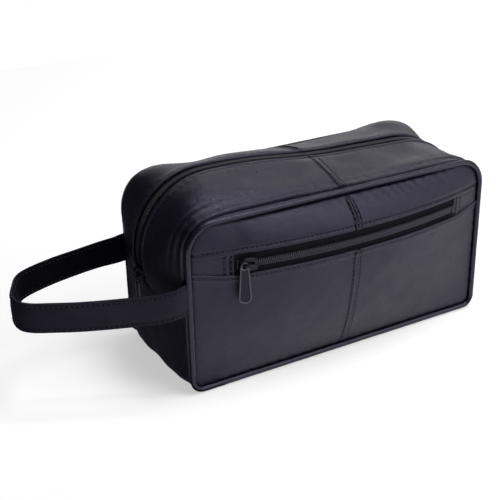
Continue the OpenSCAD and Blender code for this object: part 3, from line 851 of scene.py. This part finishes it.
def back_panels():
    lines = []
    relief = lambda u, z: body_relief(u, z, 80)
    rows = np.unique(np.concatenate([foot_rows(60.0)[:-6], head_rows(60.0)]))
    for name, side, ends in (("left", -1, (-1.0, 0.0)), ("right", 1, (0.0, 1.0))):
        panel(f"back_{name}", f"back_panel_{name}", back_point, panel_u(*ends), rows, relief, -1)
        up = np.linspace(PIPE_LOW + 5, TOP - 5, 90)
        lines.append(stitch_line(back_point, relief, -1, side * JOINT_ROW / PANEL_REACH, up))
    on_bag(stitches("back_stitches", lines, THREAD), "thread")


def pocket_zip():
    """The pocket's tapes and coils, bowed like the track."""
    def on_track(x, z):
        angle = x / TRACK_R
        return np.stack([TRACK_R * np.sin(angle), TRACK[1] - TRACK_R * np.cos(angle), z], -1)

    x = np.linspace(-WINDOW_REACH - 4, WINDOW_REACH + 4, 190)
    weave = lambda a, b: 0.1 * noise(a, b, 8, 4, 21) - 0.25 * bell(np.abs(b - POCKET_Z) - 4.6, 0.6)
    for name, sign_z in (("upper", 1), ("lower", -1)):
        z = POCKET_Z + sign_z * np.linspace(0.15, POCKET_TAPE, 12)
        tape = sheet(f"pocket_tape_{name}", on_track, x, z, weave, 1, TAPE, CLOTH, TAPE_DEPTH)
        on_bag(tape, "zip_tape", f"pocket_zip_tape_{name}")
        shift = COIL_PITCH / 2 if sign_z > 0 else 0
        at = np.arange(-WINDOW_REACH + 3, WINDOW_REACH - 3, COIL_PITCH) + shift
        middle = on_track(at, np.full_like(at, POCKET_Z))
        out = unit(middle - np.array([0, TRACK[1], POCKET_Z]))
        across = np.tile([0.0, 0.0, float(sign_z)], (len(at), 1))
        coil = teeth(f"pocket_coil_{name}", middle, across, out)
        on_bag(coil, "zip_coil", f"pocket_zip_coil_{name}")
    parts = []
    for side in (-1, 1):
        sx = side * (WINDOW_REACH - 1) + np.linspace(-0.9, 0.9, 5)
        sz = POCKET_Z + np.linspace(-COIL_HALF - 0.3, COIL_HALF + 0.3, 12)
        parts.append(zip_stop(on_track, sx, sz, POCKET_Z, 3.1, 1, 0.4))
    on_bag(joined("pocket_zip_stops", parts), "zip_metal", "pocket_zip_stops")


def linings():
    us = np.linspace(-0.965, 0.965, 60)
    rows = np.linspace(FOOT[1] - 3, TOP - 4, 36)
    folds = lambda u, z: 0.5 * noise(u * HALF_X, z, 30, 22, 12) + 0.2 * noise(u * HALF_X, z, 9, 9, 13)
    lining("lining_front", front_point, us, rows, folds, 1, 4.8)
    lining("lining_rear", back_point, us, rows, folds, -1, 3.4)
    pouch_rows = np.linspace(FOOT[1] + 4, WINDOW[1] + 4, 30)
    lining("pocket_lining", front_point, us * 0.93, pouch_rows, None, 1, thick=0.5)
    flat = lambda u, v: np.stack([u, v, np.full_like(u, 4.6)], -1)
    folds = lambda u, v: 0.35 * noise(u, v, 24, 18, 14)
    lining("lining_base", flat, np.linspace(-114, 114, 60), np.linspace(-44, 46, 26), folds, 1, 0.0, 0.4)


def base():
    """The flat leather base: its lower face is level, and its rim rolls up."""
    half = FOOT[0] - 0.2, HALF_Y - PIPE_R - 0.4
    flat = lambda u, v: np.stack([u, v, np.zeros_like(u)], -1)
    xs = spaced(-half[0], half[0], 2.5)
    ys = spaced(-half[1], half[1], 2.5)

    def rim(u, v):
        d = np.minimum(half[0] - np.abs(u), half[1] - np.abs(v))
        dents = 0.12 * np.minimum(0, noise(u, v, 22, 16, 15)) * smooth(d / 10)
        return dents - roll(d, 1.2) - 0.3 * bell(d - 4, 0.7)

    skin = sheet("base_skin", flat, xs, ys, rim, -1, BAG_LEATHER, thick=1.8)
    on_bag(skin, "bag_leather", "base_panel")
    lines = []
    long_side = np.linspace(-half[0] + 6, half[0] - 6, 120)
    short_side = np.linspace(-half[1] + 6, half[1] - 6, 60)
    for side in (-1, 1):
        lines.append(stitch_line(flat, rim, -1, long_side, side * (half[1] - 4)))
        lines.append(stitch_line(flat, rim, -1, side * (half[0] - 4), short_side))
    for origins, _, _ in lines:
        origins[:, 2] += 0.35  # keeps the thread off the floor
    on_bag(stitches("base_stitches", lines, THREAD), "thread")


def piping(name, y, node):
    """Covered cord round the front or the back, a little uneven as leather over cord is."""
    path = []

    def arc(cx, cz, r, a, b, n):
        for t in np.radians(np.linspace(a, b, n)):
            path.append([cx + r * math.cos(t), cz + r * math.sin(t), math.cos(t), math.sin(t)])

    head = HALF_X - TOP_R, TOP - TOP_R
    arc(FOOT[0], FOOT[1], FOOT_R, -90, 0, 10)
    arc(head[0], head[1], TOP_R, 0, 90, 22)
    arc(-head[0], head[1], TOP_R, 90, 180, 22)
    arc(-FOOT[0], FOOT[1], FOOT_R, 180, 270, 10)
    path = np.array(path + [path[0]])
    length = distances(path[:, :2])
    at = np.linspace(0, length[-1], 560, endpoint=False)
    line = resample(at, length, path)
    line[:, 2:] = unit(line[:, 2:])
    turn = np.linspace(0, 2 * math.pi, 18, endpoint=False)
    a, t = np.meshgrid(at, turn, indexing="ij")
    r = PIPE_R * (1 + 0.03 * noise(a, 12 * t, 11, 9, 40)) - 0.06 + 0.05 * noise(a, 8 * t, 4, 6, 41)
    out = r * np.cos(t)
    rings = np.stack([line[:, None, 0] + out * line[:, None, 2], y + r * np.sin(t) + 0 * out,
                      line[:, None, 1] + out * line[:, None, 3]], -1)
    cord = tube(name, rings, PIPING_LEATHER, closed=True)
    on_bag(cord, "piping_leather", node)


# -------- the strap

STRAP_WIDTH = 22.0
STRAP_THICK = 2.8
hinge_x, hinge_z = STRAP_PIVOT[0], STRAP_PIVOT[2]
# Middle line from the front seam round to the rear seam: x, y, height above the hinge, lean in degrees
STRAP_ROUTE = np.array([
    [-122, -50.2, 2.5, 0], [-127, -51.2, 2, 0], [-134.8, -51.6, 0, 0], [-147, -46.5, -2.5, 0],
    [-164, -38, -4, 0], [-180, -31, -4.5, 0], [-195, -24.5, -4.5, 0], [-210, -17.5, -4, 0],
    [-221, -11, -4, 0], [-227, -3, -4, 0], [-227.5, 8, -3.5, 0], [-223, 20, -3, 2],
    [-217, 31, -2, 4], [-207, 38, -1.5, 6], [-187, 44.5, -1, 8], [-165, 49.5, -1, 10],
    [-148, 51.6, -0.5, 8], [-134.8, 51.6, 0, 4], [-127, 51.2, 1, 0], [-122, 50.2, 1, 0]])


def catmull(points, steps):
    """A smooth curve through the points, with that many steps from each to the next."""
    padded = np.concatenate([points[:1], points, points[-1:]])
    rows = []
    for i in range(1, len(padded) - 2):
        p0, p1, p2, p3 = padded[i - 1:i + 3]
        for k in np.linspace(0, 1, steps, endpoint=False):
            rows.append(0.5 * (2 * p1 + (p2 - p0) * k + (2 * p0 - 5 * p1 + 4 * p2 - p3) * k ** 2
                               + (3 * p1 - p0 - 3 * p2 + p3) * k ** 3))
    return np.array(rows + [points[-1]])


def strap_frame():
    line = catmull(STRAP_ROUTE, 12)
    middle = line[:, :3] + [0, 0, hinge_z]
    ahead = unit(np.gradient(middle, axis=0))
    out = unit(np.stack([-ahead[:, 1], ahead[:, 0], np.zeros(len(line))], 1))
    lean = np.radians(line[:, 3])[:, None]
    up = unit(np.cross(ahead, out))
    up *= np.sign(up[:, 2:3])
    leaned_out = unit(out * np.cos(lean) + up * np.sin(lean))
    leaned_up = unit(up * np.cos(lean) - out * np.sin(lean))
    return middle, ahead, leaned_out, leaned_up


def strap_half_thick(across, along):
    """Half the thickness at a place across the strap: thin edges, a stitch groove, a full middle."""
    half = STRAP_WIDTH / 2
    d = half - np.abs(across)
    h = STRAP_THICK / 2 * np.sqrt(np.clip(1 - (np.clip(1.1 - d, 0, 1.1) / 1.1) ** 2, 0.02, 1))
    h = h - 0.5 * bell(d - STRAP_ROW, 0.5) + 0.25 * smooth((d - 3) / 4)
    return h + 0.14 * noise(along, across, 17, 7, 70) * smooth((d - 2.5) / 3)


def strap():
    middle, ahead, out, up = strap_frame()
    length = distances(middle)
    half = STRAP_WIDTH / 2
    rim = np.array([0, 0.12, 0.4, 0.8]) - half
    across = np.concatenate([rim, np.linspace(-half + 1.3, half - 1.3, 26), -rim[::-1]])
    across = with_groove(across, half - STRAP_ROW, STRAP_ROW - half)
    a, s = np.meshgrid(across, length)
    thick = strap_half_thick(a, s)
    bowed = 0.25 * (a / half) ** 2
    flat = middle[:, None] + a[..., None] * up[:, None]
    face, seam, back = (flat + h[..., None] * out[:, None] for h in (thick - bowed, -bowed, -thick - bowed))
    plies = []
    # The back ply's darker leather is partly painted shade for the strap's inner side.
    for name, outer, inner, made in (("strap_face", face, seam, STRAP_LEATHER),
                                     ("strap_back", seam, back, STRAP_BACKING_SHADED)):
        ply = solid(name, outer, inner, made)
        plies.append(finish_piece(ply, "strap_leather", "wrist_strap", "strap_end_front", "strap_end_rear"))
    lines = []
    keep = slice(14, -14)  # none where the strap goes into the seams
    for edge in (-1, 1):
        place = edge * (half - STRAP_ROW)
        h = strap_half_thick(np.full(len(length), place), length)
        for side in (-1, 1):
            base = middle + place * up + side * (h[:, None]) * out
            lines.append(strap_stitches(base[keep], ahead[keep], side * out[keep]))
    thread = finish_piece(stitches("strap_stitches", lines, STRAP_THREAD), "thread")
    for piece in (*plies, thread):
        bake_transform(piece)


def strap_stitches(base, ahead, out):
    """Stitches at their pitch along a line of points."""
    length = distances(base)
    at = (np.arange(int(length[-1] / STITCH_PITCH)) + 0.5) * STITCH_PITCH
    return tuple(resample(at, length, values) for values in (base, ahead, out))


# -------- sliders and pulls

def plate(name, loops, thick, bevel, made):
    """A flat plate with rounded edges, standing on z = 0: its outline first, then its holes."""
    curve = bpy.data.curves.new(name, "CURVE")
    curve.dimensions = "2D"
    curve.fill_mode = "BOTH"
    for loop in loops:
        spline = curve.splines.new("POLY")
        spline.points.add(len(loop) - 1)
        for point, (x, y) in zip(spline.points, loop):
            point.co = (x * MM, y * MM, 0, 1)
        spline.use_cyclic_u = True
    curve.extrude = (thick / 2 - bevel) * MM
    curve.bevel_depth = bevel * MM
    curve.bevel_resolution = 3
    curve.offset = -bevel * MM
    shape = linked(name, curve)
    mesh = bpy.data.meshes.new_from_object(shape.evaluated_get(bpy.context.evaluated_depsgraph_get()))
    bpy.data.objects.remove(shape)
    work = bmesh.new()
    work.from_mesh(mesh)
    bmesh.ops.remove_doubles(work, verts=work.verts, dist=1e-7)
    bmesh.ops.recalc_face_normals(work, faces=work.faces)
    work.to_mesh(mesh)
    work.free()
    mesh.transform(Matrix.Translation((0, 0, thick / 2 * MM)))
    mesh.polygons.foreach_set("use_smooth", [False] * len(mesh.polygons))
    mesh.materials.clear()
    mesh.materials.append(made)
    return linked(name, mesh)


def circle(cx, cy, r, n=32, start=0.0, stop=360.0):
    angles = np.radians(np.linspace(start, stop, n, endpoint=stop - start < 360))
    return [(cx + r * math.cos(a), cy + r * math.sin(a)) for a in angles]


def rod(name, path, half_a, half_b, across, made):
    """A bent bar with a rounded section: half_b is its half width along across, half_a the other way."""
    path = np.asarray(path, float)
    ahead = unit(np.gradient(path, axis=0))
    side = np.tile(np.asarray(across, float), (len(path), 1))
    third = unit(np.cross(ahead, side))
    turn = np.linspace(0, 2 * math.pi, 16, endpoint=False)
    c, s = (np.sign(wave) * np.abs(wave) ** 0.6 for wave in (np.cos(turn), np.sin(turn)))
    rings = (path[:, None] + half_a * c[None, :, None] * third[:, None]
             + half_b * s[None, :, None] * side[:, None])
    return tube(name, rings, made)


def placed(obj, origin, x_axis, y_axis, z_axis):
    axes = Matrix([[x_axis[k], y_axis[k], z_axis[k], origin[k] * MM] for k in range(3)] + [[0, 0, 0, 1]])
    obj.data.transform(axes)
    return obj


WING = 1.1
WING_LOW = 0.1
BRIDGE_REACH = 3.6
SLIDER_TAIL = 6.3
RIM = 1.15
PULL_THICK = 1.4
RING_R = 3.1
RING_HOLE = 1.85


def slider(name):
    """A coil slider with its x along the zip: an upper wing, side walls and a bridge for the pull."""
    tail = [(-6.1, -3.2), (-SLIDER_TAIL, -2.4), (-SLIDER_TAIL, 2.4), (-6.1, 3.2)]
    waist = [(-3.0, 3.9), (0.2, 4.4)]
    shoulder = [(3.2, 4.6), (5.0, 4.2), (6.0, 3.2), (6.2, 2.0), (5.2, 0.8), (4.9, 0.0)]
    upper = waist + shoulder
    outline = tail + upper + [(x, -y) for x, y in reversed(upper[:-1])]
    wing = plate("wing", [outline], WING, 0.35, METAL)
    placed(wing, (0, 0, WING_LOW), (1, 0, 0), (0, 1, 0), (0, 0, 1))
    parts = [wing]
    for side in (-1, 1):
        path = [(-6.0, side * 3.5, -0.55), (-3, side * 3.95, -0.6), (1, side * 4.1, -0.6),
                (4.6, side * 4.0, -0.5)]
        parts.append(rod("wall", path, 0.75, 0.42, (0, 1, 0), METAL))
    top = WING_LOW + WING
    arch = [(BRIDGE_REACH * math.cos(a), 0, top - 0.3 + 2.9 * abs(math.sin(a)) ** 0.55)
            for a in np.linspace(math.pi, 0, 22)]
    parts.append(rod("bridge", arch, 0.5, 1.0, (0, 1, 0), METAL))
    return joined(name, parts)


def pull_outline(top_half, low_half, tip, start=0.0):
    """A teardrop that hangs along -y: narrow and round at the top, wider and round at the tip."""
    head = circle(0, start, top_half, 17, 0, 180)
    foot = circle(0, -tip + low_half, low_half, 25, 180, 360)
    return head + foot


def shrunk(loop, by):
    """The loop moved inward, point by point along its own corner directions."""
    points = np.array(loop)
    ahead = unit(np.roll(points, -1, 0) - np.roll(points, 1, 0))
    inward = np.stack([-ahead[:, 1], ahead[:, 0]], 1)
    return [tuple(p) for p in points + inward * by]


def rimmed_tab(outline, thick, holes):
    """A cast tab: a thin web, and a raised rim in lighter paint, which is partly worn paint and partly a
    painted highlight.
    """
    rim = plate("rim", [outline, shrunk(outline, RIM)], thick, 0.45, WORN_AND_HIGHLIT_METAL)
    web = plate("web", [shrunk(outline, 0.8)] + holes, thick * 0.4, 0.1, METAL)
    web.data.transform(Matrix.Translation((0, 0, thick * 0.2 * MM)))
    return rim, web


def pocket_hardware():
    phi = -math.asin((abs(node_box("pocket_slider_body")[0][0]) - SLIDER_TAIL) / TRACK_R)
    out = np.array([math.sin(phi), -math.cos(phi), 0])
    ahead = np.array([math.cos(phi), math.sin(phi), 0])
    origin = np.array([0, TRACK[1], POCKET_Z]) + TRACK_R * out
    body = placed(slider("pocket_slider"), origin, ahead, (0, 0, 1), out)
    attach(finish_piece(body, "zip_metal", "pocket_slider_body"), "pocket_slider")
    lo = node_box("pocket_pull_tab")[0]
    tip = POCKET_PIVOT[2] - lo[2]
    hole = circle(0, 0, RING_HOLE, 24)
    rim, web = rimmed_tab(pull_outline(RING_R, 4.7, tip), PULL_THICK, [hole])
    # The eye takes the same lighter paint: partly wear, partly a painted highlight.
    eye = plate("eye", [circle(0, 0, RING_R, 32), hole], PULL_THICK, 0.45, WORN_AND_HIGHLIT_METAL)
    lift = 0.75  # the ring lies just above the slider's wing
    for piece in (joined("pocket_pull_rim", [rim, eye]), joined("pocket_pull_web", [web])):
        placed(piece, POCKET_PIVOT + out * lift, ahead, (0, 0, 1), out)
        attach(finish_piece(piece, "zip_metal", "pocket_pull_tab"), "pocket_pull")


def main_hardware():
    out = unit(PULL_PIVOT - CORNER)
    ahead = np.array([out[2], 0, -out[0]])
    body = placed(slider("main_slider"), CORNER + out * CORNER_R, ahead, np.cross(out, ahead), out)
    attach(finish_piece(body, "zip_metal", "main_slider_body"), "main_slider")
    tip = PULL_PIVOT[2] - node_box("main_pull_tab")[0][2]
    outline = pull_outline(3.2, 3.8, tip, start=-8.4)
    slot = circle(0, -9.2, 1.5, 20)
    thick = 1.3
    rim, web = rimmed_tab(outline, thick, [slot])
    for part in (rim, web):
        part.data.transform(Matrix.Translation((0, 0, -thick / 2 * MM)))
    parts = [web]
    for side in (-1, 1):
        path = [(side * 2.6, 0.2, 0), (side * 2.75, -2, 0), (side * 2.75, -5, 0), (side * 2.3, -8.5, 0)]
        parts.append(rod("arm", path, 0.55, 0.6, (0, 0, 1), METAL))
    bar = [(-3.0, 0, 0), (-1, 0, 0), (1, 0, 0), (3.0, 0, 0)]
    parts.append(rod("bar", bar, 0.62, 0.62, (0, 0, 1), METAL))
    for piece in (joined("main_pull_rim", [rim]), joined("main_pull_web", parts)):
        placed(piece, PULL_PIVOT, (0, 1, 0), (0, 0, 1), (1, 0, 0))
        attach(finish_piece(piece, "zip_metal", "main_pull_tab"), "main_pull")


# -------- stage

def area_light(name, place, look_at, size, power):
    data = bpy.data.lights.new(name, "AREA")
    data.shape = "RECTANGLE"
    data.size, data.size_y = size
    data.energy = power
    obj = linked(name, data)
    obj.location = place
    direction = np.array(look_at) - np.array(place)
    obj.rotation_euler = Vector(direction).to_track_quat("-Z", "Y").to_euler()


def floor_part(name, x, y, made):
    """A rectangle of floor, in metres, from x[0] to x[1] and from y[0] to y[1]."""
    mesh = bpy.data.meshes.new(name)
    mesh.from_pydata([(x[0], y[0], 0), (x[1], y[0], 0), (x[1], y[1], 0), (x[0], y[1], 0)], [], [(0, 1, 2, 3)])
    mesh.materials.append(made)
    part = linked(name, mesh)
    return part


def stage():
    """A pale floor that glows a little, three soft lights, and a world that only the camera sees as white."""
    made, shader = material("floor", (0.64, 0.64, 0.64), 0.95, gloss=0.0, tint=(1, 1, 1))
    put(shader, {"Emission Color": (1, 1, 1, 1), "Emission Strength": 0.52})
    floor_part("floor_front", (-1.6, 1.6), (-1.6, -0.06), made)
    floor_part("floor_rear", (-0.1, 1.6), (-0.06, 0.9), made)
    # The left end would mirror the floor beside it, and come out too light
    behind_strap = floor_part("floor_rear_left", (-1.6, -0.1), (-0.06, 0.9), made)
    behind_strap.visible_glossy = False
    world = bpy.data.worlds.new("studio")
    bpy.context.scene.world = world
    world.use_nodes = True
    tree = world.node_tree
    seen = tree.nodes["Background"]
    put(seen, {"Color": (1, 1, 1, 1), "Strength": 1.0})
    lit = tree.nodes.new("ShaderNodeBackground")
    put(lit, {"Color": (0.85, 0.88, 1.0, 1), "Strength": 0.05})
    path = tree.nodes.new("ShaderNodeLightPath")
    mix = tree.nodes.new("ShaderNodeMixShader")
    tree.links.new(path.outputs["Is Camera Ray"], mix.inputs[0])
    tree.links.new(lit.outputs[0], mix.inputs[1])
    tree.links.new(seen.outputs[0], mix.inputs[2])
    tree.links.new(mix.outputs[0], tree.nodes["World Output"].inputs["Surface"])
    area_light("rear", (1.2, 1.7, 1.0), (0, 0, 0.08), (2.5, 1.7), 15)
    area_light("front", (1.08, -1.3, 1.3), (0, 0, 0.1), (1.7, 2.2), 27)
    area_light("overhead", (0.4, -0.2, 2.2), (0, 0, 0), (0.9, 0.8), 24)


def camera():
    """The photograph's view: a medium lens from the front left, a little above."""
    azimuth, elevation, roll_angle = (math.radians(a) for a in (-29.68, 24.72, -1.13))
    distance = 0.7505
    target = np.array([-0.0487, 0, 0.0723])
    back = np.array([math.sin(azimuth) * math.cos(elevation), -math.cos(azimuth) * math.cos(elevation),
                     math.sin(elevation)])
    right = np.array([math.cos(azimuth), math.sin(azimuth), 0])
    up = np.cross(back, right)
    turned = math.cos(roll_angle) * right + math.sin(roll_angle) * up
    data = bpy.data.cameras.new("camera")
    data.lens, data.sensor_width = 72.8, 36
    obj = linked("camera", data)
    columns = [turned, np.cross(back, turned), back, target + distance * back]
    obj.matrix_world = Matrix([[column[k] for column in columns] for k in range(3)] + [[0, 0, 0, 1]])
    bpy.context.scene.camera = obj


# -------- the build

camera()
stage()
gussets = [Gusset(LEFT), Gusset(RIGHT)]
for gusset in gussets:
    end_panel(gusset)
    for front in (True, False):
        gusset_half(gusset, front)
main_zip_stops(gussets)
front_panels()
back_panels()
pocket_zip()
linings()
base()
piping("piping_front", -HALF_Y, "front_piping")
piping("piping_rear", HALF_Y, "rear_piping")
strap()
pocket_hardware()
main_hardware()
stiffener = frame["nodes"]["base_stiffener"].data
stiffener.materials.clear()
stiffener.materials.append(BOARD)
bpy.context.scene.view_settings.view_transform = "Standard"
